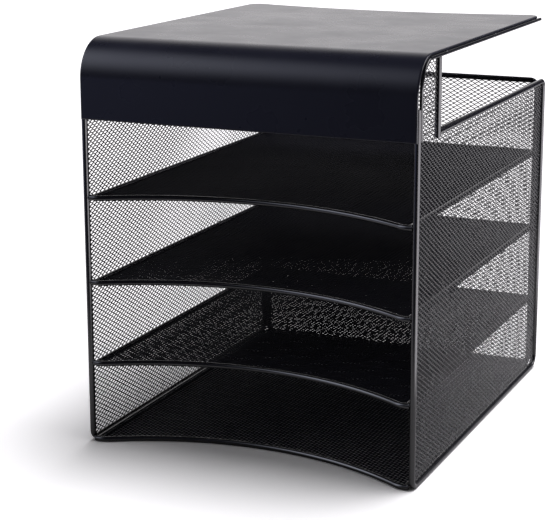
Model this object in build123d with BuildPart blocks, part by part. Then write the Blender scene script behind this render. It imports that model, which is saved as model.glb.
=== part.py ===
from build123d import *
import os
from math import atan, degrees, hypot, sin

# A black mesh desk organizer: four fixed trays in an open-fronted case of bent wire frames
# filled with expanded metal, under a bent steel hood that reaches back over the case.
# Millimetres. X to the right, Y to the back, Z up. Origin at the bottom centre.

case_width = 254.0
overall_depth = 312.5
overall_height = 297.6

# Wires and the gap left at each weld
frame_wire = 4.4
tray_wire = 4.0
hood_wire = 2.6
weld_gap = 0.1

# Heights of wire centres above the desk
lower_tray_height = 60.4
middle_tray_height = 121.3
upper_tray_height = 184.0
rail_height = 242.6

# Bends of the frames, along the wire's centre line
front_foot_bend = 6.0
rear_foot_bend = 9.0
rail_bend = 5.5
back_frame_bend = 6.0
tray_bend = 6.0
post_top_height = 263.0

# Struts that carry the hood behind the side panels' tabs
strut_setback = 44.0
strut_below_rail = 4.0

# Bowed front wire of a tray
front_bow = 32.5
front_tab = 4.5
front_tab_bend = 10.0

# Expanded metal, drawn coarse: about fourteen strands for the real seventy
net_thickness = 0.6
net_long_pitch = 30.0
net_short_pitch = 17.5
net_strand = 2.6
net_border = 3.0
net_least_opening = 25.0

# Hood sheet with its edges folded under, and the wires beneath it
sheet_thickness = 0.8
hem_width = 6.0
hood_side_inset = 1.2
hood_roll_radius = 28.0
fascia_bottom = 241.0
hood_rear = 138.2
hood_rear_bow = 19.0
hood_corner_radius = 9.0
hood_wire_drop = 0.4
hood_wire_bend = 19.0
hood_wire_end_inset = 2.0
hood_wire_bottom_rise = 1.0
front_cross_setback = 13.0
rear_cross_margin = 3.5

# Places worked out from the sizes above
hem_thickness = 2 * sheet_thickness
frame_radius = frame_wire / 2
tray_radius = tray_wire / 2
hood_radius = hood_wire / 2

hood_front = -overall_depth / 2
post_y = hood_front + hem_thickness + weld_gap + frame_radius
rear_y = overall_depth / 2 - frame_radius
side_x = case_width / 2 - frame_radius
foot_z = frame_radius
strut_y = hood_front + strut_setback
strut_bottom = rail_height - strut_below_rail

hood_half_width = case_width / 2 - hood_side_inset
hood_wire_x = case_width / 2 - hood_radius
hood_wire_y = post_y + frame_radius + weld_gap + hood_radius
hood_wire_z = overall_height - hem_thickness - hood_wire_drop - hood_radius
hood_wire_bottom = fascia_bottom + hood_wire_bottom_rise

tray_outer_x = side_x - frame_radius - weld_gap
tray_side_x = tray_outer_x - tray_radius
tray_rear_y = rear_y - frame_radius - weld_gap - tray_radius
tray_front_end = post_y + tray_radius + weld_gap
tray_net_x = tray_side_x - tray_radius - weld_gap
back_x = side_x - 2 * frame_radius - weld_gap

tray_heights = {
    "bottom": tray_radius,
    "lower": lower_tray_height,
    "middle": middle_tray_height,
    "upper": upper_tray_height,
}
sides = {"left": -1, "right": 1}


def section_plane(path):
    """The plane square to a path's start."""
    return Plane(origin=path.line @ 0, z_dir=path.line % 0)


def front_curve(set_back):
    """A tray's bowed front line, moved back by set_back: tab, bend, bow, bend, tab."""
    half_bow_width = tray_outer_x - front_tab
    turn = 2 * atan(front_bow / half_bow_width)
    bow_radius = half_bow_width / sin(turn) - front_tab_bend
    turn_angle = degrees(turn)
    half_width = tray_outer_x if set_back == 0 else tray_net_x
    start = (-half_width, post_y + set_back)
    first_tab = Line(start, (-half_bow_width, post_y + set_back))
    first_bend = JernArc(first_tab @ 1, first_tab % 1, front_tab_bend - set_back, turn_angle)
    bow = JernArc(first_bend @ 1, first_bend % 1, bow_radius + set_back, -2 * turn_angle)
    last_bend = JernArc(bow @ 1, bow % 1, front_tab_bend - set_back, turn_angle)
    Line(last_bend @ 1, (half_width, post_y + set_back))


def with_diamonds(outline):
    """The same face as outline, pierced by staggered diamonds that stop at its border."""
    field = offset(outline, amount=-net_border, mode=Mode.PRIVATE).faces()[0]
    box = field.bounding_box()
    middle = box.center()
    columns = int(box.size.X / net_long_pitch / 2) + 1
    rows = int(box.size.Y / net_short_pitch) + 1
    openings = []
    for row in range(-rows, rows + 1):
        for column in range(-columns - 1, columns + 1):
            x = middle.X + (column + 0.5 * (row % 2)) * net_long_pitch
            y = middle.Y + row * net_short_pitch / 2
            tips = [
                Vector(x - diamond_half_long, y),
                Vector(x, y - diamond_half_short),
                Vector(x + diamond_half_long, y),
                Vector(x, y + diamond_half_short),
            ]
            tips_inside = [field.is_inside(tip) for tip in tips]
            corner_inside = any(
                abs(corner.X - x) / diamond_half_long + abs(corner.Y - y) / diamond_half_short < 1
                for corner in field.vertices()
            )
            opening = Wire.make_polygon(tips, close=True)
            if all(tips_inside) and not corner_inside:
                openings.append(opening)
            elif any(tips_inside):
                for cut_opening in (Face(opening) & field).faces():
                    if cut_opening.area > net_least_opening:
                        openings.append(cut_opening.outer_wire())
    return Face(outline.outer_wire(), openings)


# A diamond cell is open but for half a strand along each of its sides
cell_half_height = net_long_pitch * net_short_pitch / 2 / hypot(net_long_pitch, net_short_pitch)
open_share = 1 - net_strand / 2 / cell_half_height
diamond_half_long = net_long_pitch / 2 * open_share
diamond_half_short = net_short_pitch / 2 * open_share

os.makedirs("parts", exist_ok=True)

for side, sign in sides.items():
    # Side frame: one wire bent into front post, bottom rail, rear post and top rail
    with BuildPart() as side_frame:
        with BuildLine(Plane.YZ.offset(sign * side_x)) as frame_path:
            FilletPolyline(
                (post_y, post_top_height),
                (post_y, foot_z),
                (rear_y, foot_z),
                (rear_y, rail_height),
                (strut_y + frame_radius + weld_gap, rail_height),
                radius=[front_foot_bend, rear_foot_bend, rail_bend],
            )
        with BuildSketch(section_plane(frame_path)):
            Circle(frame_radius)
        sweep()
    side_frame.part.label = f"{side}_side_frame"
    export_step(side_frame.part, f"parts/{side}_side_frame.step")

    # Strut: a short upright wire from beside the top rail to the hood's side wire
    with BuildPart() as strut:
        strut_top = hood_wire_z - hood_radius - weld_gap
        with BuildSketch(Plane.XY.offset(strut_bottom)):
            with Locations((sign * side_x, strut_y)):
                Circle(frame_radius)
        extrude(amount=strut_top - strut_bottom)
    strut.part.label = f"{side}_strut"
    export_step(strut.part, f"parts/{side}_strut.step")

    # Side mesh: fills the frame, up to the top rail and to the hood wire's foot beside the strut
    with BuildPart() as side_mesh:
        with BuildSketch(Plane.YZ.offset(sign * side_x - net_thickness / 2)) as side_panel:
            front_edge = post_y + frame_radius + weld_gap
            rear_edge = rear_y - frame_radius - weld_gap
            lower_edge = foot_z + frame_radius + weld_gap
            upper_edge = rail_height - frame_radius - weld_gap
            tab_foot = hood_wire_bottom - weld_gap
            tab_rear = strut_y - frame_radius - weld_gap
            notch_front = strut_y + frame_radius + weld_gap
            with BuildLine():
                Polyline(
                    (front_edge, tab_foot),
                    (front_edge, lower_edge),
                    (rear_edge, lower_edge),
                    (rear_edge, upper_edge),
                    (notch_front, upper_edge),
                    (notch_front, strut_bottom - weld_gap),
                    (tab_rear, strut_bottom - weld_gap),
                    (tab_rear, tab_foot),
                    close=True,
                )
            make_face()
            inner_bends = {
                (front_edge, lower_edge): front_foot_bend - frame_radius - weld_gap,
                (rear_edge, lower_edge): rear_foot_bend - frame_radius - weld_gap,
                (rear_edge, upper_edge): rail_bend - frame_radius - weld_gap,
            }
            for corner, bend in inner_bends.items():
                fillet(side_panel.vertices().sort_by_distance(corner)[0], radius=bend)
            add(with_diamonds(side_panel.sketch_local.face()), mode=Mode.REPLACE)
        extrude(amount=net_thickness)
    side_mesh.part.label = f"{side}_side_mesh"
    export_step(side_mesh.part, f"parts/{side}_side_mesh.step")

    # Tab mesh: carries the side mesh on up into the roll, between hood wire and strut
    with BuildPart() as tab_mesh:
        with BuildSketch(Plane.YZ.offset(sign * side_x - net_thickness / 2)) as tab_panel:
            tab_front = hood_wire_y + hood_radius + weld_gap
            tab_bottom = tab_foot + weld_gap
            tab_top = hood_wire_z - hood_radius - weld_gap
            with BuildLine():
                Polyline(
                    (tab_front, tab_bottom),
                    (tab_rear, tab_bottom),
                    (tab_rear, tab_top),
                    (tab_front, tab_top),
                    close=True,
                )
            make_face()
            roll_corner = tab_panel.vertices().sort_by_distance((tab_front, tab_top))[0]
            fillet(roll_corner, radius=hood_wire_bend - hood_radius - weld_gap)
            add(with_diamonds(tab_panel.sketch_local.face()), mode=Mode.REPLACE)
        extrude(amount=net_thickness)
    tab_mesh.part.label = f"{side}_tab_mesh"
    export_step(tab_mesh.part, f"parts/{side}_tab_mesh.step")

    # Hood side wire: from the fascia's foot up through the roll and back under the top
    with BuildPart() as side_wire:
        with BuildLine(Plane.YZ.offset(sign * hood_wire_x)) as side_wire_path:
            FilletPolyline(
                (hood_wire_y, hood_wire_bottom),
                (hood_wire_y, hood_wire_z),
                (hood_rear - hood_wire_end_inset, hood_wire_z),
                radius=hood_wire_bend,
            )
        with BuildSketch(section_plane(side_wire_path)):
            Circle(hood_radius)
        sweep()
    side_wire.part.label = f"hood_{side}_wire"
    export_step(side_wire.part, f"parts/hood_{side}_wire.step")

# Back frame: a closed wire between the two rear posts
with BuildPart() as back_frame:
    with BuildLine(Plane.XZ.offset(-rear_y)) as back_path:
        FilletPolyline(
            (-back_x, foot_z),
            (back_x, foot_z),
            (back_x, rail_height),
            (-back_x, rail_height),
            radius=back_frame_bend,
            close=True,
        )
    with BuildSketch(section_plane(back_path)):
        Circle(frame_radius)
    sweep()
back_frame.part.label = "back_frame"
export_step(back_frame.part, "parts/back_frame.step")

# Back mesh
with BuildPart() as back_mesh:
    back_net_width = 2 * (back_x - frame_radius - weld_gap)
    back_net_height = rail_height - foot_z - frame_wire - 2 * weld_gap
    with BuildSketch(Plane.XZ.offset(-rear_y - net_thickness / 2)) as back_panel:
        with Locations((0, (rail_height + foot_z) / 2)):
            RectangleRounded(back_net_width, back_net_height, back_frame_bend - frame_radius - weld_gap)
        add(with_diamonds(back_panel.sketch_local.face()), mode=Mode.REPLACE)
    extrude(amount=net_thickness)
back_mesh.part.label = "back_mesh"
export_step(back_mesh.part, "parts/back_mesh.step")

for tray, height in tray_heights.items():
    # Tray frame: a wire bent into two sides and a rear, welded to the back and the front wire
    with BuildPart() as tray_frame:
        with BuildLine(Plane.XY.offset(height)) as tray_path:
            FilletPolyline(
                (-tray_side_x, tray_front_end),
                (-tray_side_x, tray_rear_y),
                (tray_side_x, tray_rear_y),
                (tray_side_x, tray_front_end),
                radius=tray_bend,
            )
        with BuildSketch(section_plane(tray_path)):
            Circle(tray_radius)
        sweep()
    tray_frame.part.label = f"{tray}_tray_frame"
    export_step(tray_frame.part, f"parts/{tray}_tray_frame.step")

    # Tray front wire: bowed back so that fingers reach the paper, its ends welded to the posts
    with BuildPart() as front_wire:
        with BuildLine(Plane.XY.offset(height)) as front_path:
            front_curve(0)
        with BuildSketch(section_plane(front_path)):
            Circle(tray_radius)
        sweep()
    front_wire.part.label = f"{tray}_tray_front_wire"
    export_step(front_wire.part, f"parts/{tray}_tray_front_wire.step")

    # Tray mesh: the floor, inside its two wires
    with BuildPart() as tray_mesh:
        with BuildSketch(Plane.XY.offset(height - net_thickness / 2)) as floor_panel:
            floor_rear = tray_rear_y - tray_radius - weld_gap
            floor_front = post_y + tray_radius + weld_gap
            with BuildLine():
                front_curve(tray_radius + weld_gap)
                Polyline(
                    (tray_net_x, floor_front),
                    (tray_net_x, floor_rear),
                    (-tray_net_x, floor_rear),
                    (-tray_net_x, floor_front),
                )
            make_face()
            rear_corners = floor_panel.vertices().group_by(Axis.Y)[-1]
            fillet(rear_corners, radius=tray_bend - tray_radius - weld_gap)
            add(with_diamonds(floor_panel.sketch_local.face()), mode=Mode.REPLACE)
        extrude(amount=net_thickness)
    tray_mesh.part.label = f"{tray}_tray_mesh"
    export_step(tray_mesh.part, f"parts/{tray}_tray_mesh.step")


def hood_profile(outer_depth, inner_depth, bottom, rear):
    """The hood's side profile between two depths below its outer face."""
    roll_centre = (hood_front + hood_roll_radius, overall_height - hood_roll_radius)
    outer_roll = CenterArc(roll_centre, hood_roll_radius - outer_depth, 90, 90)
    inner_roll = CenterArc(roll_centre, hood_roll_radius - inner_depth, 90, 90)
    outer_rear = (rear, overall_height - outer_depth)
    inner_rear = (rear, overall_height - inner_depth)
    Polyline(outer_roll @ 0, outer_rear, inner_rear, inner_roll @ 0)
    outer_foot = (hood_front + outer_depth, bottom)
    inner_foot = (hood_front + inner_depth, bottom)
    Polyline(outer_roll @ 1, outer_foot, inner_foot, inner_roll @ 1)


def hood_plan(inset):
    """The hood seen from above, inset from its edges, with its rear edge bowed inwards."""
    half_width = hood_half_width - inset
    rear = hood_rear - inset
    ThreePointArc((-half_width, rear), (0, rear - hood_rear_bow), (half_width, rear))
    Polyline(
        (half_width, rear),
        (half_width, hood_front - hem_width),
        (-half_width, hood_front - hem_width),
        (-half_width, rear),
    )


# Hood pocket: what is left out under the sheet, inside its folded edges
with BuildPart() as hood_pocket:
    with BuildSketch(Plane.YZ):
        with BuildLine():
            hood_profile(sheet_thickness, hem_thickness, fascia_bottom + hem_width, hood_rear)
        make_face()
    extrude(amount=hood_half_width - hem_width, both=True)
    with BuildSketch(Plane.XY):
        with BuildLine():
            hood_plan(hem_width)
        make_face()
    extrude(amount=overall_height, mode=Mode.INTERSECT)

# Hood sheet: flat top, roll and fascia, one layer thick with folded edges
with BuildPart() as hood_sheet:
    with BuildSketch(Plane.YZ):
        with BuildLine():
            hood_profile(0, hem_thickness, fascia_bottom, hood_rear)
        make_face()
    extrude(amount=hood_half_width, both=True)
    with BuildSketch(Plane.XY) as hood_outline:
        with BuildLine():
            hood_plan(0)
        make_face()
        fillet(hood_outline.vertices().group_by(Axis.Y)[-1], radius=hood_corner_radius)
    extrude(amount=overall_height, mode=Mode.INTERSECT)
    add(hood_pocket.part, mode=Mode.SUBTRACT)
hood_sheet.part.label = "hood_sheet"
export_step(hood_sheet.part, "parts/hood_sheet.step")

# Cross wires between the hood's two side wires
cross_wire_places = {
    "front": strut_y + front_cross_setback,
    "middle": (strut_y + hood_rear) / 2,
    "rear": hood_rear - hood_rear_bow - rear_cross_margin,
}
cross_wire_length = 2 * (hood_wire_x - hood_radius - weld_gap)
for place, cross_y in cross_wire_places.items():
    with BuildPart() as cross_wire:
        with BuildSketch(Plane.YZ):
            with Locations((cross_y, hood_wire_z)):
                Circle(hood_radius)
        extrude(amount=cross_wire_length / 2, both=True)
    cross_wire.part.label = f"hood_{place}_cross_wire"
    export_step(cross_wire.part, f"parts/hood_{place}_cross_wire.step")
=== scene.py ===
from math import atan, cos, pi, radians, sin, sqrt

import bmesh
import bpy
from mathutils import Matrix, Vector


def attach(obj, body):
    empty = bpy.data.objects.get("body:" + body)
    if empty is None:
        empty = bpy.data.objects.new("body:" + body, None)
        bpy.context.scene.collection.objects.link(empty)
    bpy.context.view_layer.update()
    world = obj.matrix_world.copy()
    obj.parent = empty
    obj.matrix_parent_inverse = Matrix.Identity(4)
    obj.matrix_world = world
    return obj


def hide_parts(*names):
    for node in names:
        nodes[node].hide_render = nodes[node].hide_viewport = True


# A black mesh desk organizer: a case of bent wire frames filled with expanded metal, four trays
# in it, and a sheet steel hood over it. Metres. X to the right, Y to the back, Z up.
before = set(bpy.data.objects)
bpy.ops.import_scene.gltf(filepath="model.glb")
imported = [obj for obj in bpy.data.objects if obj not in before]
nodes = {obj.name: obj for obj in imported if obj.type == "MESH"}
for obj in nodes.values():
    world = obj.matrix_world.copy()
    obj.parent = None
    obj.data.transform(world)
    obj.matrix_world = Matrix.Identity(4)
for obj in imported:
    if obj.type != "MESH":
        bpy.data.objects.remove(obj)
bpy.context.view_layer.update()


# Camera: a long lens that stands in front of the case, to its right, and looks down on it a
# little. Its place, turn and lens were fitted to the outline of the case.
looking_down = 0.22920
turned_left = 0.41139
camera_data = bpy.data.cameras.new("camera")
camera_data.sensor_width = 36
camera_data.lens = 109.54
camera_data.shift_x = -0.0282
camera_data.shift_y = -0.0536
camera = bpy.data.objects.new("camera", camera_data)
camera.location = (0.47825, -1.16949, 0.43331)
camera.rotation_euler = (pi / 2 - looking_down, 0, turned_left)
bpy.context.scene.collection.objects.link(camera)
bpy.context.scene.camera = camera


# Wires: mild steel wire of three sizes, cut, bent into frames and spot welded to each other.
# Case and trays are powder coated black once they are welded, so the coat runs over the joints.
MM = 0.001


def linear_colour(hex_colour):
    """A six-digit sRGB hex colour as linear red, green, blue and alpha."""
    channels = [int(hex_colour[place:place + 2], 16) / 255 for place in (0, 2, 4)]
    linear = [c / 12.92 if c <= 0.04045 else ((c + 0.055) / 1.055) ** 2.4 for c in channels]
    return (*linear, 1)


def add_node(tree, kind, inputs=None, **settings):
    """Adds a node with its settings, and gives each named input a value or a link."""
    node = tree.nodes.new(kind)
    for name, value in settings.items():
        setattr(node, name, value)
    for name, value in (inputs or {}).items():
        if isinstance(value, bpy.types.NodeSocket):
            tree.links.new(value, node.inputs[name])
        else:
            node.inputs[name].default_value = value
    return node


def powder_coat(name, colours, roughness, gloss, peel_width, peel_height, refraction=1.5):
    """Polyester powder coat on steel: a dark body under a smooth skin with orange peel.

    The colour wanders between two shades and the roughness a little up and down, in soft clouds,
    because the powder never lies equally thick. The peel is the fine waviness of the baked skin.
    """
    cloud_width = 40 * MM
    roughness_spread = 0.03
    material = bpy.data.materials.new(name)
    material.use_nodes = True
    tree = material.node_tree
    tree.nodes.clear()
    place = add_node(tree, "ShaderNodeTexCoord").outputs["Object"]
    peel = add_node(tree, "ShaderNodeTexNoise", {
        "Vector": place, "Scale": 1 / peel_width, "Detail": 2.0, "Roughness": 0.5,
    })
    cloud = add_node(tree, "ShaderNodeTexNoise", {
        "Vector": place, "Scale": 1 / cloud_width, "Detail": 3.0, "Roughness": 0.6,
    })
    skin = add_node(tree, "ShaderNodeMapRange", {
        "Value": cloud.outputs["Fac"], "From Min": 0.3, "From Max": 0.7,
        "To Min": roughness - roughness_spread, "To Max": roughness + roughness_spread,
    })
    shade = add_node(tree, "ShaderNodeMixRGB", {
        "Fac": cloud.outputs["Fac"],
        "Color1": linear_colour(colours[0]), "Color2": linear_colour(colours[1]),
    })
    bump = add_node(tree, "ShaderNodeBump", {
        "Height": peel.outputs["Fac"], "Strength": 1.0, "Distance": peel_height,
    })
    coat = add_node(tree, "ShaderNodeBsdfPrincipled", {
        "Base Color": shade.outputs["Color"], "Roughness": skin.outputs["Result"],
        "Normal": bump.outputs["Normal"], "IOR": refraction, "Specular IOR Level": gloss,
    })
    add_node(tree, "ShaderNodeOutputMaterial", {"Surface": coat.outputs["BSDF"]})
    return material


# On round wire the satin coat is nearly black, with one narrow light line along the wire.
wire_coat = powder_coat(
    "satin_powder_coat_on_wire", colours=("08080A", "0B0B0D"), roughness=0.20, gloss=0.70,
    peel_width=1.6 * MM, peel_height=0.008 * MM,
)
wire_nodes = [name for name in nodes if name.endswith(("frame", "strut", "wire"))]
for name in wire_nodes:
    nodes[name].data.materials.clear()
    nodes[name].data.materials.append(wire_coat)


# Expanded metal: black coated steel sheet, slit and stretched into diamonds 6 mm long and
# 3.5 mm high. Each panel's strands run out to the middle of the wires that it is welded to.
net_sizes = {
    "Long Pitch": 6 * MM,
    "Short Pitch": 3.5 * MM,
    "Strand Width": 0.80 * MM,
    "Strand Thickness": 0.42 * MM,
    "Strand Tilt": radians(35),
}


def build_expanded_metal():
    """Zigzag strands, row over row, cut off at a flat panel's edge."""
    bond_share = 0.35
    spare_points = 3.0
    ray_reach = 10 * MM
    tree = bpy.data.node_groups.new("expanded_metal", "GeometryNodeTree")
    add_socket = tree.interface.new_socket
    add_socket("Panel", in_out="INPUT", socket_type="NodeSocketGeometry")
    for measure in (*net_sizes, "Shift Along", "Shift Across"):
        add_socket(measure, in_out="INPUT", socket_type="NodeSocketFloat")
    add_socket("Coat", in_out="INPUT", socket_type="NodeSocketMaterial")
    add_socket("Net", in_out="OUTPUT", socket_type="NodeSocketGeometry")
    given = add_node(tree, "NodeGroupInput").outputs

    # The panel's box, and along each axis how many points fill it and where the first one lies
    box = add_node(tree, "GeometryNodeBoundBox", {"Geometry": given["Panel"]}).outputs
    size = add_node(tree, "ShaderNodeVectorMath", {0: box["Max"], 1: box["Min"]}, operation="SUBTRACT")
    extent = add_node(tree, "ShaderNodeSeparateXYZ", {0: size.outputs[0]}).outputs
    total = add_node(tree, "ShaderNodeVectorMath", {0: box["Max"], 1: box["Min"]}, operation="ADD")
    double_middle = add_node(tree, "ShaderNodeSeparateXYZ", {0: total.outputs[0]}).outputs
    steps = []
    counts = []
    starts = []
    for axis, pitch, shift in (("X", "Long Pitch", "Shift Along"), ("Y", "Short Pitch", "Shift Across")):
        step = add_node(tree, "ShaderNodeMath", {0: given[pitch], 1: 2.0}, operation="DIVIDE").outputs[0]
        fitting = add_node(tree, "ShaderNodeMath", {0: extent[axis], 1: step}, operation="DIVIDE")
        whole = add_node(tree, "ShaderNodeMath", {0: fitting.outputs[0]}, operation="CEIL")
        count = add_node(tree, "ShaderNodeMath", {0: whole.outputs[0], 1: spare_points}, operation="ADD")
        gaps = add_node(tree, "ShaderNodeMath", {0: count.outputs[0], 1: 1.0}, operation="SUBTRACT")
        span = add_node(tree, "ShaderNodeMath", {0: gaps.outputs[0], 1: step}, operation="MULTIPLY")
        double_start = add_node(tree, "ShaderNodeMath", {
            0: double_middle[axis], 1: span.outputs[0],
        }, operation="SUBTRACT")
        centred = add_node(tree, "ShaderNodeMath", {0: double_start.outputs[0], 1: 2.0}, operation="DIVIDE")
        start = add_node(tree, "ShaderNodeMath", {0: centred.outputs[0], 1: given[shift]}, operation="ADD")
        steps.append(step)
        counts.append(count.outputs[0])
        starts.append(start.outputs[0])
    half_long, half_short = steps
    first_point = add_node(tree, "ShaderNodeCombineXYZ", {"X": starts[0], "Y": starts[1]})
    along = add_node(tree, "ShaderNodeCombineXYZ", {"X": half_long})
    across = add_node(tree, "ShaderNodeCombineXYZ", {"Y": half_short})
    strand = add_node(tree, "GeometryNodeMeshLine", {"Count": counts[0], "Offset": along.outputs[0]})
    rows = add_node(tree, "GeometryNodeMeshLine", {
        "Count": counts[1], "Start Location": first_point.outputs[0], "Offset": across.outputs[0],
    })
    strands = add_node(tree, "GeometryNodeInstanceOnPoints", {
        "Points": rows.outputs["Mesh"], "Instance": strand.outputs["Mesh"],
    })
    lines = add_node(tree, "GeometryNodeRealizeInstances", {"Geometry": strands.outputs[0]})

    # Every point moves up or down by turns, so that neighbouring strands meet at their bends, where
    # they overlap by a share of their width. The half keeps the row number clear of rounding.
    index = add_node(tree, "GeometryNodeInputIndex").outputs[0]
    column = add_node(tree, "ShaderNodeMath", {0: index, 1: counts[0]}, operation="MODULO")
    index_and_half = add_node(tree, "ShaderNodeMath", {0: index, 1: 0.5}, operation="ADD")
    rows_before = add_node(tree, "ShaderNodeMath", {
        0: index_and_half.outputs[0], 1: counts[0],
    }, operation="DIVIDE")
    row = add_node(tree, "ShaderNodeMath", {0: rows_before.outputs[0]}, operation="FLOOR")
    turns = add_node(tree, "ShaderNodeMath", {0: column.outputs[0], 1: row.outputs[0]}, operation="ADD")
    parity = add_node(tree, "ShaderNodeMath", {0: turns.outputs[0], 1: 2.0}, operation="MODULO")
    double_parity = add_node(tree, "ShaderNodeMath", {0: parity.outputs[0], 1: 2.0}, operation="MULTIPLY")
    up_or_down = add_node(tree, "ShaderNodeMath", {
        0: double_parity.outputs[0], 1: 1.0,
    }, operation="SUBTRACT")
    bond = add_node(tree, "ShaderNodeMath", {
        0: given["Strand Width"], 1: bond_share,
    }, operation="MULTIPLY")
    half_row = add_node(tree, "ShaderNodeMath", {0: half_short, 1: 2.0}, operation="DIVIDE")
    swing = add_node(tree, "ShaderNodeMath", {
        0: half_row.outputs[0], 1: bond.outputs[0],
    }, operation="SUBTRACT")
    rise = add_node(tree, "ShaderNodeMath", {
        0: up_or_down.outputs[0], 1: swing.outputs[0],
    }, operation="MULTIPLY")
    zigzag = add_node(tree, "ShaderNodeCombineXYZ", {"Y": rise.outputs[0]})
    bent = add_node(tree, "GeometryNodeSetPosition", {
        "Geometry": lines.outputs[0], "Offset": zigzag.outputs[0],
    })

    # Points well outside the panel go, and those just outside it move onto its edge
    place = add_node(tree, "GeometryNodeInputPosition").outputs[0]
    above = add_node(tree, "ShaderNodeVectorMath", {0: place, 1: (0, 0, ray_reach)}, operation="ADD")
    inside = add_node(tree, "GeometryNodeRaycast", {
        "Target Geometry": given["Panel"], "Source Position": above.outputs[0],
        "Ray Direction": (0, 0, -1), "Ray Length": 2 * ray_reach,
    }).outputs["Is Hit"]
    outside = add_node(tree, "FunctionNodeBooleanMath", {0: inside}, operation="NOT").outputs[0]
    edge = add_node(tree, "GeometryNodeProximity", {"Geometry": given["Panel"]}, target_element="EDGES")
    far = add_node(tree, "FunctionNodeCompare", {"A": edge.outputs["Distance"], "B": half_long})
    beyond = add_node(tree, "FunctionNodeBooleanMath", {0: outside, 1: far.outputs[0]}, operation="AND")
    kept = add_node(tree, "GeometryNodeDeleteGeometry", {
        "Geometry": bent.outputs[0], "Selection": beyond.outputs[0],
    })
    trimmed = add_node(tree, "GeometryNodeSetPosition", {
        "Geometry": kept.outputs[0], "Selection": outside, "Position": edge.outputs["Position"],
    })

    # Each line becomes a flat strand, turned about its own length as the stretching leaves it
    curves = add_node(tree, "GeometryNodeMeshToCurve", {"Mesh": trimmed.outputs[0]})
    flat = add_node(tree, "GeometryNodeSetCurveNormal", {"Curve": curves.outputs[0]}, mode="Z_UP")
    tilted = add_node(tree, "GeometryNodeSetCurveTilt", {
        "Curve": flat.outputs[0], "Tilt": given["Strand Tilt"],
    })
    section = add_node(tree, "GeometryNodeCurvePrimitiveQuadrilateral", {
        "Width": given["Strand Width"], "Height": given["Strand Thickness"],
    })
    bars = add_node(tree, "GeometryNodeCurveToMesh", {
        "Curve": tilted.outputs[0], "Profile Curve": section.outputs[0], "Fill Caps": True,
    })
    faceted = add_node(tree, "GeometryNodeSetShadeSmooth", {
        "Geometry": bars.outputs[0], "Shade Smooth": False,
    })
    realized = add_node(tree, "GeometryNodeRealizeInstances", {"Geometry": faceted.outputs[0]})
    coated = add_node(tree, "GeometryNodeSetMaterial", {
        "Geometry": realized.outputs[0], "Material": given["Coat"],
    })
    add_node(tree, "NodeGroupOutput", {"Net": coated.outputs[0]})
    return tree


expanded_metal = build_expanded_metal()


def rounded_outline(corners):
    """A closed outline through corners, each given as x, y and the radius it is rounded to."""
    arc_steps = 6
    points = []
    for place, (x, y, radius) in enumerate(corners):
        corner = Vector((x, y))
        if radius == 0:
            points.append(corner)
            continue
        before = (Vector(corners[place - 1][:2]) - corner).normalized()
        after = (Vector(corners[(place + 1) % len(corners)][:2]) - corner).normalized()
        start = corner + before * radius
        centre = start + after * radius
        for step in range(arc_steps + 1):
            turn = step / arc_steps * pi / 2
            points.append(centre - after * radius * cos(turn) - before * radius * sin(turn))
    return points


def as_plain_mesh(made, name):
    """The object with its modifiers worked out, as a plain mesh under its own name."""
    bpy.context.view_layer.update()
    evaluated = made.evaluated_get(bpy.context.evaluated_depsgraph_get())
    mesh = bpy.data.meshes.new_from_object(evaluated)
    made.modifiers.clear()
    made.data = mesh
    mesh.name = name
    return made


def add_net(node, outline, placing, coat, sizes, *more_nodes):
    """A panel of expanded metal with an outline in millimetres, put in place by a matrix."""
    mesh = bpy.data.meshes.new(node)
    mesh.from_pydata([(x * MM, y * MM, 0) for x, y in outline], [], [range(len(outline))])
    net = bpy.data.objects.new("net_of_" + node, mesh)
    bpy.context.scene.collection.objects.link(net)
    modifier = net.modifiers.new("expanded_metal", "NODES")
    modifier.node_group = expanded_metal
    sockets = {item.name: item.identifier for item in expanded_metal.interface.items_tree}
    for size, value in {**net_sizes, **sizes}.items():
        modifier[sockets[size]] = value
    modifier[sockets["Coat"]] = coat
    as_plain_mesh(net, net.name)
    net.data.transform(placing)
    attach(net, "root")
    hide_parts(node, *more_nodes)
    return net


# Side panels: each is one piece of the net, welded round its edge to the bent wire of its side.
# Ahead of the strut, a tab of the same piece runs up under the hood into its roll.
side_x = 124.8
post_y = -152.35
rear_y = 154.05
foot_z = 2.2
rail_z = 242.6
strut_y = -112.25
hood_wire_y = -148.75
hood_wire_z = 294.3
tab_foot_z = 242
front_foot_bend = 6
rear_foot_bend = 9
rail_bend = 5.5
hood_wire_bend = 19
# The left net is drawn a little denser, matched to how dark it stands against the pale wall
side_strand_widths = {"left": 0.88 * MM, "right": 0.80 * MM}

# The slanted strands flash in light lines where they mirror the softbox, and are black elsewhere.
# The refraction is above a plain coat's 1.5, matched to the strength of those lines.
wall_net_coat = powder_coat(
    "satin_powder_coat_on_net", colours=("0B0B0F", "0E0E12"), roughness=0.27, gloss=1.00,
    peel_width=1.2 * MM, peel_height=0.004 * MM, refraction=1.7,
)
side_outline = rounded_outline([
    (post_y, foot_z, front_foot_bend), (rear_y, foot_z, rear_foot_bend),
    (rear_y, rail_z, rail_bend), (strut_y, rail_z, 0), (strut_y, hood_wire_z, 0),
    (hood_wire_y, hood_wire_z, hood_wire_bend), (hood_wire_y, tab_foot_z, 0), (post_y, tab_foot_z, 0),
])
across_yz = Matrix(((0, 0, 1, 0), (1, 0, 0, 0), (0, 1, 0, 0), (0, 0, 0, 1)))
for side, sign in (("left", -1), ("right", 1)):
    standing = Matrix.Translation((sign * side_x * MM, 0, 0)) @ across_yz
    add_net(f"{side}_side_mesh", side_outline, standing, wall_net_coat, {
        "Strand Tilt": sign * net_sizes["Strand Tilt"], "Strand Width": side_strand_widths[side],
    }, f"{side}_tab_mesh")


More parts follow.
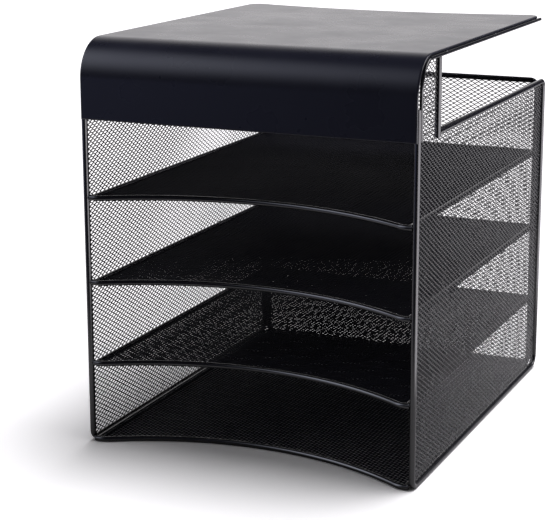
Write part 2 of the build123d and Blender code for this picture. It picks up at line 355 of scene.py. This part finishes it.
# Back panel: the same net with narrower strands, welded round its edge to a closed frame of
# wire, which is welded between the two rear posts.
back_half_width = 120.3
back_bend = 6
back_strand_width = 0.7 * MM
back_outline = rounded_outline([
    (-back_half_width, foot_z, back_bend), (back_half_width, foot_z, back_bend),
    (back_half_width, rail_z, back_bend), (-back_half_width, rail_z, back_bend),
])
across_xz = Matrix(((1, 0, 0, 0), (0, 0, -1, 0), (0, 1, 0, 0), (0, 0, 0, 1)))
back_place = Matrix.Translation((0, rear_y * MM, 0)) @ across_xz
add_net("back_mesh", back_outline, back_place, wall_net_coat, {"Strand Width": back_strand_width})


# Tray floors: the same net laid flat and welded to a wire on each side and behind. The front
# edge is bowed back along its own wire, so that fingers can reach the paper.
tray_heights = {"bottom": 2.0, "lower": 60.4, "middle": 121.3, "upper": 184.0}
tray_half_width = 120.5
tray_rear_y = 149.75
tray_bend = 6
tray_tilt = radians(12)
tray_strand_thickness = 0.36 * MM
bow_depth = 32.5
bow_half_width = 118.0
bow_bend = 10.0
bow_steps = 60
bow_turn = 2 * atan(bow_depth / bow_half_width)
bow_radius = bow_half_width / sin(bow_turn) - bow_bend
# Each tray's net is cut from the sheet at another place, so its diamonds start elsewhere
tray_shifts = {"bottom": (0.0, 0.0), "lower": (1.1, 0.6), "middle": (-1.4, 1.3), "upper": (0.7, -0.9)}


def bowed_front(x):
    """How far back the front wire's centre lies at x."""
    if abs(x) >= bow_half_width:
        return post_y
    if abs(x) > bow_radius * sin(bow_turn):
        return post_y + bow_bend - sqrt(bow_bend ** 2 - (bow_half_width - abs(x)) ** 2)
    return post_y + bow_depth - bow_radius + sqrt(bow_radius ** 2 - x ** 2)


# In the shade of the case the floors are an even black with hardly a highlight on them. Their
# colour is painted paler than the wall nets' coat, as painted fill light that lifts that shade.
tray_net_coat_painted_paler = powder_coat(
    "matt_powder_coat_on_net_painted_paler", colours=("15151B", "19191F"), roughness=0.60, gloss=0.06,
    peel_width=1.2 * MM, peel_height=0.004 * MM,
)
tray_outline = []
for step in range(bow_steps + 1):
    x = -tray_half_width + 2 * tray_half_width * step / bow_steps
    tray_outline.append(Vector((x, bowed_front(x))))
tray_outline += rounded_outline([
    (tray_half_width, post_y, 0), (tray_half_width, tray_rear_y, tray_bend),
    (-tray_half_width, tray_rear_y, tray_bend), (-tray_half_width, post_y, 0),
])[1:-1]
for tray, height in tray_heights.items():
    along, across = tray_shifts[tray]
    add_net(f"{tray}_tray_mesh", tray_outline, Matrix.Translation((0, 0, height * MM)), tray_net_coat_painted_paler, {
        "Strand Tilt": tray_tilt, "Strand Thickness": tray_strand_thickness,
        "Shift Along": along * MM, "Shift Across": across * MM,
    })


# Hood: one sheet of steel, bent down at the front in a large roll, and powder coated like the
# wires that carry it. Its edges are folded under, so they are round and 2.3 mm thick.
hood_front = -156.25
hood_top = 297.6
hood_half_width = 125.8
hood_rear = 138.2
hood_rear_bow = 19.0
hood_corner = 9.0
hood_roll = 28.0
fascia_bottom = 241.0
hem_reach = 6.0
hem_radius = 1.15
hem_edge = 0.15
sheet_thickness = 0.8
corner_steps = 12
rear_steps = 16
hem_steps = 10
roll_cuts = 32
roll_start = hood_front + hood_roll
roll_end = roll_start - hood_roll * pi / 2
flat_bottom = roll_end - (hood_top - hood_roll - fascia_bottom)


def flat_hood_outline(inset):
    """The hood's outline before it is bent, as x and y, inset by the same distance all round."""
    half_width = hood_half_width - inset
    corner = hood_corner - inset
    rear_radius = (hood_half_width ** 2 + hood_rear_bow ** 2) / (2 * hood_rear_bow)
    rear_centre = hood_rear - hood_rear_bow + rear_radius
    rear_offset = rear_radius + inset
    corner_y = rear_centre - sqrt((rear_offset + corner) ** 2 - (half_width - corner) ** 2)
    swing = atan((half_width - corner) / (rear_centre - corner_y))
    right_half = [(half_width, flat_bottom + inset)]
    for step in range(corner_steps + 1):
        turn = step / corner_steps * (pi / 2 + swing)
        right_half.append((half_width - corner + corner * cos(turn), corner_y + corner * sin(turn)))
    for step in range(1, rear_steps + 1):
        turn = swing * (1 - step / rear_steps)
        right_half.append((rear_offset * sin(turn), rear_centre - rear_offset * cos(turn)))
    return right_half + [(-x, y) for x, y in reversed(right_half[:-1])]


def bent_hood_place(x, y, depth):
    """Where a point of the flat sheet, this deep below its outer face, lies once it is bent."""
    if y >= roll_start:
        return Vector((x, y, hood_top - depth))
    if y <= roll_end:
        return Vector((x, hood_front + depth, hood_top - hood_roll - (roll_end - y)))
    turn = (roll_start - y) / hood_roll
    arm = hood_roll - depth
    return Vector((x, roll_start - arm * sin(turn), hood_top - hood_roll + arm * cos(turn)))


# The hem in section, as how far in from the edge and how deep below the outer face it runs
hem_section = [(hem_reach, 0), (hem_radius + hem_edge, 0)]
for step in range(hem_steps + 1):
    turn = step / hem_steps * pi
    hem_section.append((hem_radius - hem_radius * sin(turn), hem_radius - hem_radius * cos(turn)))
hem_section += [(hem_radius + hem_edge, 2 * hem_radius), (hem_reach - hem_edge, 2 * hem_radius)]
hem_section += [(hem_reach, 2 * hem_radius - hem_edge), (hem_reach, sheet_thickness)]

sheet = bmesh.new()
rings = [
    [sheet.verts.new((x, y, depth)) for x, y in flat_hood_outline(inset)]
    for inset, depth in hem_section
]
around = len(rings[0])
for upper_ring, lower_ring in zip(rings, rings[1:]):
    for place in range(around):
        following = (place + 1) % around
        sheet.faces.new((
            upper_ring[place], lower_ring[place], lower_ring[following], upper_ring[following],
        ))
sheet.faces.new(rings[0])
sheet.faces.new(reversed(rings[-1]))
for cut in range(roll_cuts + 1):
    bmesh.ops.bisect_plane(
        sheet, geom=sheet.verts[:] + sheet.edges[:] + sheet.faces[:], dist=0.0001,
        plane_co=(0, roll_start - cut / roll_cuts * (roll_start - roll_end), 0), plane_no=(0, 1, 0),
    )
for vert in sheet.verts:
    vert.co = bent_hood_place(*vert.co) * MM
bmesh.ops.triangulate(sheet, faces=[face for face in sheet.faces if len(face.verts) > 4])
bmesh.ops.recalc_face_normals(sheet, faces=sheet.faces[:])
hood_mesh = bpy.data.meshes.new("hood")
sheet.to_mesh(hood_mesh)
sheet.free()
hood_mesh.shade_smooth()
hood_mesh.set_sharp_from_angle(angle=radians(50))
# On flat sheet the coat is a bluish black, with a soft sheen where the top mirrors the pale wall
# and the roll mirrors the window. The peel makes that sheen slightly uneven.
hood_mesh.materials.append(powder_coat(
    "satin_powder_coat_on_sheet", colours=("1A1B26", "1E1F2B"), roughness=0.28, gloss=0.40,
    peel_width=1.8 * MM, peel_height=0.01 * MM,
))
hood = bpy.data.objects.new("hood", hood_mesh)
bpy.context.scene.collection.objects.link(hood)
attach(hood, "root")
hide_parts("hood_sheet")


# Weld beads: the lumps of metal where wires are spot welded to each other and to the hood, under
# the same coat as the wires. Each kind has its x on the right side, and its width, depth and height.
post_bead_x, post_bead = 122.4, (3.0, 3.6, 2.6)
front_bead_x, front_bead = 120.4, (3.4, 2.6, 2.4)
rear_bead_x, rear_bead = 119.5, (3.6, 2.4, 2.4)
side_bead_x, side_bead = 123.3, (1.8, 3.6, 2.2)
cross_bead_x, cross_bead = 125.5, (2.8, 5.0, 2.6)
cross_tail_x, cross_tail = 124.4, (2.4, 3.0, 2.2)
back_bead_x, back_bead = 122.6, (2.6, 3.0, 6.0)
fascia_bead_x, fascia_bead = 125.5, (2.6, 2.6, 3.4)
strut_top_x, strut_top_bead = 124.9, (3.4, 4.8, 2.4)
strut_foot_x, strut_foot_bead = 124.8, (3.6, 3.0, 4.4)
post_bead_lift = 1.2
corner_bead_lift = 0.6
side_bead_lift = 0.4
front_bead_y = post_y + 1.6
rear_bead_y = 151.9
side_bead_ys = (60, -60)
cross_wire_ys = (-99.25, 12.98, 115.7)
cross_bead_z, cross_tail_z = 294.9, 295.2
cross_tail_ahead = 1.4
back_bead_heights = (20, 120, 225)
fascia_bead_y, fascia_bead_z = -150.6, 243.0
strut_top_z = 293.3
strut_foot_y, strut_foot_z = strut_y + 2.6, rail_z - 0.6
bead_places = []
for sign in (-1, 1):
    for height in tray_heights.values():
        bead_places.append((sign * post_bead_x, post_y, height + post_bead_lift, *post_bead))
        bead_places.append((sign * front_bead_x, front_bead_y, height + corner_bead_lift, *front_bead))
        bead_places.append((sign * rear_bead_x, rear_bead_y, height + corner_bead_lift, *rear_bead))
        for side_y in side_bead_ys:
            bead_places.append((sign * side_bead_x, side_y, height + side_bead_lift, *side_bead))
    for cross_y in cross_wire_ys:
        bead_places.append((sign * cross_bead_x, cross_y, cross_bead_z, *cross_bead))
        bead_places.append((sign * cross_tail_x, cross_y - cross_tail_ahead, cross_tail_z, *cross_tail))
    for back_height in back_bead_heights:
        bead_places.append((sign * back_bead_x, rear_y, back_height, *back_bead))
    bead_places.append((sign * fascia_bead_x, fascia_bead_y, fascia_bead_z, *fascia_bead))
    bead_places.append((sign * strut_top_x, strut_y, strut_top_z, *strut_top_bead))
    bead_places.append((sign * strut_foot_x, strut_foot_y, strut_foot_z, *strut_foot_bead))


def build_weld_beads():
    """A small lump on every point, as large along each axis as the point says."""
    lumps_per_metre = 900.0
    middle_grey = (0.5, 0.5, 0.5)
    tree = bpy.data.node_groups.new("weld_beads", "GeometryNodeTree")
    tree.interface.new_socket("Places", in_out="INPUT", socket_type="NodeSocketGeometry")
    tree.interface.new_socket("Unevenness", in_out="INPUT", socket_type="NodeSocketFloat")
    tree.interface.new_socket("Coat", in_out="INPUT", socket_type="NodeSocketMaterial")
    tree.interface.new_socket("Beads", in_out="OUTPUT", socket_type="NodeSocketGeometry")
    given = add_node(tree, "NodeGroupInput").outputs
    lump = add_node(tree, "GeometryNodeMeshIcoSphere", {"Radius": 0.5, "Subdivisions": 2})
    size = add_node(tree, "GeometryNodeInputNamedAttribute", {"Name": "size"}, data_type="FLOAT_VECTOR")
    lumps = add_node(tree, "GeometryNodeInstanceOnPoints", {
        "Points": given["Places"], "Instance": lump.outputs["Mesh"], "Scale": size.outputs[0],
    })
    single = add_node(tree, "GeometryNodeRealizeInstances", {"Geometry": lumps.outputs[0]})
    wobble = add_node(tree, "ShaderNodeTexNoise", {"Scale": lumps_per_metre, "Detail": 1.0})
    centred = add_node(tree, "ShaderNodeVectorMath", {
        0: wobble.outputs["Color"], 1: middle_grey,
    }, operation="SUBTRACT")
    push = add_node(tree, "ShaderNodeVectorMath", {
        0: centred.outputs[0], "Scale": given["Unevenness"],
    }, operation="SCALE")
    uneven = add_node(tree, "GeometryNodeSetPosition", {
        "Geometry": single.outputs[0], "Offset": push.outputs[0],
    })
    smooth = add_node(tree, "GeometryNodeSetShadeSmooth", {"Geometry": uneven.outputs[0]})
    coated = add_node(tree, "GeometryNodeSetMaterial", {
        "Geometry": smooth.outputs[0], "Material": given["Coat"],
    })
    add_node(tree, "NodeGroupOutput", {"Beads": coated.outputs[0]})
    return tree


bead_mesh = bpy.data.meshes.new("weld_beads")
bead_mesh.from_pydata([Vector(bead[:3]) * MM for bead in bead_places], [], [])
bead_size = bead_mesh.attributes.new("size", "FLOAT_VECTOR", "POINT")
for place, bead in enumerate(bead_places):
    bead_size.data[place].vector = Vector(bead[3:]) * MM
beads = bpy.data.objects.new("weld_beads", bead_mesh)
bpy.context.scene.collection.objects.link(beads)
bead_modifier = beads.modifiers.new("weld_beads", "NODES")
bead_modifier.node_group = build_weld_beads()
bead_sockets = {item.name: item.identifier for item in bead_modifier.node_group.interface.items_tree}
bead_modifier[bead_sockets["Unevenness"]] = 0.5 * MM
bead_modifier[bead_sockets["Coat"]] = wire_coat
as_plain_mesh(beads, "weld_beads")
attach(beads, "root")


# Floor: a pale matt sheet under the case, which the camera sees brighter than its light makes it,
# so that it is white where no shadow falls. It ends close in front of the case, because the front
# posts would mirror more of it as a grey edge.
floor_left, floor_right, floor_front, floor_rear = -6, 0.35, -0.45, 12
brightening = 0.80
floor_paint = bpy.data.materials.new("matt_white_floor")
floor_paint.use_nodes = True
floor_tree = floor_paint.node_tree
floor_tree.nodes.clear()
matt_white = add_node(floor_tree, "ShaderNodeBsdfDiffuse", {"Color": linear_colour("F7F4F9")})
ray = add_node(floor_tree, "ShaderNodeLightPath").outputs
seen = add_node(floor_tree, "ShaderNodeMath", {
    0: ray["Is Camera Ray"], 1: ray["Is Transmission Ray"],
}, operation="MAXIMUM")
lift = add_node(floor_tree, "ShaderNodeMapRange", {
    "Value": seen.outputs[0], "To Min": 0.0, "To Max": brightening,
})
extra_white = add_node(floor_tree, "ShaderNodeBsdfDiffuse", {"Color": lift.outputs["Result"]})
floor_skin = add_node(floor_tree, "ShaderNodeAddShader", {
    0: matt_white.outputs[0], 1: extra_white.outputs[0],
})
add_node(floor_tree, "ShaderNodeOutputMaterial", {"Surface": floor_skin.outputs[0]})
floor_mesh = bpy.data.meshes.new("floor")
floor_mesh.from_pydata([
    (floor_left, floor_front, 0), (floor_right, floor_front, 0),
    (floor_right, floor_rear, 0), (floor_left, floor_rear, 0),
], [], [(0, 1, 2, 3)])
floor_mesh.materials.append(floor_paint)
floor = bpy.data.objects.new("floor", floor_mesh)
bpy.context.scene.collection.objects.link(floor)


# Room: what the coat mirrors, which mirrored rays alone see. A pale wall stands behind the case on
# the left, a low light and a high softbox on the right, and a window up on the left with some sky
# near the horizon. The camera sees white, and other rays an even dim grey.
even_light = (0.14, 0.14, 0.14, 1)
white = (1, 1, 1, 1)
black = (0, 0, 0, 1)
dim_room = (0.05, 0.05, 0.07, 1)
wall_light = (1.12, 1.09, 1.11, 1)
low_light = (4.6, 4.45, 4.7, 1)
softbox_light = (5.5, 5.35, 5.6, 1)
window_light = (2.7, 2.8, 3.3, 1)
sky_light = (0.42, 0.46, 0.80, 1)
# Each patch of the room has the direction of its middle, and the cosines of the angles from there
# at which it begins and is whole
towards_window = (-0.75, -0.38, 0.55)
patches = {
    "wall": ((-0.57, 0.81, 0.10), 0.74, 0.95),
    "low_light": ((1.0, 0.05, 0.10), 0.60, 0.78),
    "softbox": ((0.69, 0.58, 0.44), 0.93, 0.97),
    "window": (towards_window, 0.78, 0.98),
    "sky": (towards_window, 0.54, 0.64),
}
# Each band has the heights of a ray's direction at which it begins and is whole
bands = {"below_level": (-0.02, -0.09), "off_floor": (-0.22, -0.18), "well_up": (0.27, 0.34)}

world = bpy.data.worlds.new("pale_room")
bpy.context.scene.world = world
world.use_nodes = True
room = world.node_tree
room.nodes.clear()
towards = add_node(room, "ShaderNodeTexCoord").outputs["Generated"]
ray = add_node(room, "ShaderNodeLightPath").outputs
# How much of each patch and band a ray meets, from 0 to 1
share = {}
for name, (direction, begins, whole) in patches.items():
    facing = add_node(room, "ShaderNodeVectorMath", {
        0: towards, 1: Vector(direction).normalized(),
    }, operation="DOT_PRODUCT").outputs["Value"]
    share[name] = add_node(room, "ShaderNodeMapRange", {
        "Value": facing, "From Min": begins, "From Max": whole, "To Min": 0.0, "To Max": 1.0,
    }).outputs["Result"]
height = add_node(room, "ShaderNodeSeparateXYZ", {0: towards}).outputs["Z"]
for name, (begins, whole) in bands.items():
    share[name] = add_node(room, "ShaderNodeMapRange", {
        "Value": height, "From Min": begins, "From Max": whole, "To Min": 0.0, "To Max": 1.0,
    }).outputs["Result"]

low_right = add_node(room, "ShaderNodeMath", {
    0: share["low_light"], 1: share["below_level"],
}, operation="MULTIPLY").outputs[0]
low_glow = add_node(room, "ShaderNodeMix", {
    0: low_right, 6: black, 7: low_light,
}, data_type="RGBA").outputs[2]
high_right = add_node(room, "ShaderNodeMath", {
    0: share["softbox"], 1: share["well_up"],
}, operation="MULTIPLY").outputs[0]
right_glow = add_node(room, "ShaderNodeMix", {
    0: high_right, 6: low_glow, 7: softbox_light,
}, data_type="RGBA").outputs[2]
wall_colour = add_node(room, "ShaderNodeMix", {
    0: share["wall"], 6: dim_room, 7: wall_light,
}, data_type="RGBA").outputs[2]
sky_band = add_node(room, "ShaderNodeMath", {
    0: share["below_level"], 1: share["off_floor"],
}, operation="MULTIPLY").outputs[0]
low_sky = add_node(room, "ShaderNodeMath", {
    0: share["sky"], 1: sky_band,
}, operation="MULTIPLY").outputs[0]
sky_colour = add_node(room, "ShaderNodeMix", {
    0: low_sky, 6: black, 7: sky_light,
}, data_type="RGBA").outputs[2]
soft_pane = add_node(room, "ShaderNodeMath", {0: share["window"], 1: 2.0}, operation="POWER").outputs[0]
window_colour = add_node(room, "ShaderNodeMix", {
    0: soft_pane, 6: sky_colour, 7: window_light,
}, data_type="RGBA").outputs[2]
both_lights = add_node(room, "ShaderNodeMix", {
    0: 1.0, 6: right_glow, 7: window_colour,
}, data_type="RGBA", blend_type="ADD").outputs[2]
mirrored = add_node(room, "ShaderNodeMix", {
    0: 1.0, 6: wall_colour, 7: both_lights,
}, data_type="RGBA", blend_type="ADD").outputs[2]
lit = add_node(room, "ShaderNodeMix", {
    0: ray["Is Glossy Ray"], 6: even_light, 7: mirrored,
}, data_type="RGBA").outputs[2]
seen = add_node(room, "ShaderNodeMath", {
    0: ray["Is Camera Ray"], 1: ray["Is Transmission Ray"],
}, operation="MAXIMUM").outputs[0]
shown = add_node(room, "ShaderNodeMix", {0: seen, 6: lit, 7: white}, data_type="RGBA").outputs[2]
glow = add_node(room, "ShaderNodeBackground", {"Color": shown, "Strength": 1.0})
add_node(room, "ShaderNodeOutputWorld", {"Surface": glow.outputs[0]})


# Sun: one broad lamp almost overhead, a little to the right and to the back of the case. The
# coat doesn't mirror it, and it is so wide that shadows end softly.
towards_sun = (0.15, 0.20, 0.97)
sun_data = bpy.data.lights.new("broad_sun", "SUN")
sun_data.energy = 2.1
sun_data.angle = radians(34)
sun = bpy.data.objects.new("broad_sun", sun_data)
sun.rotation_euler = Vector(towards_sun).to_track_quat("Z", "Y").to_euler()
sun.visible_glossy = False
bpy.context.scene.collection.objects.link(sun)

bpy.context.scene.view_settings.view_transform = "Standard"
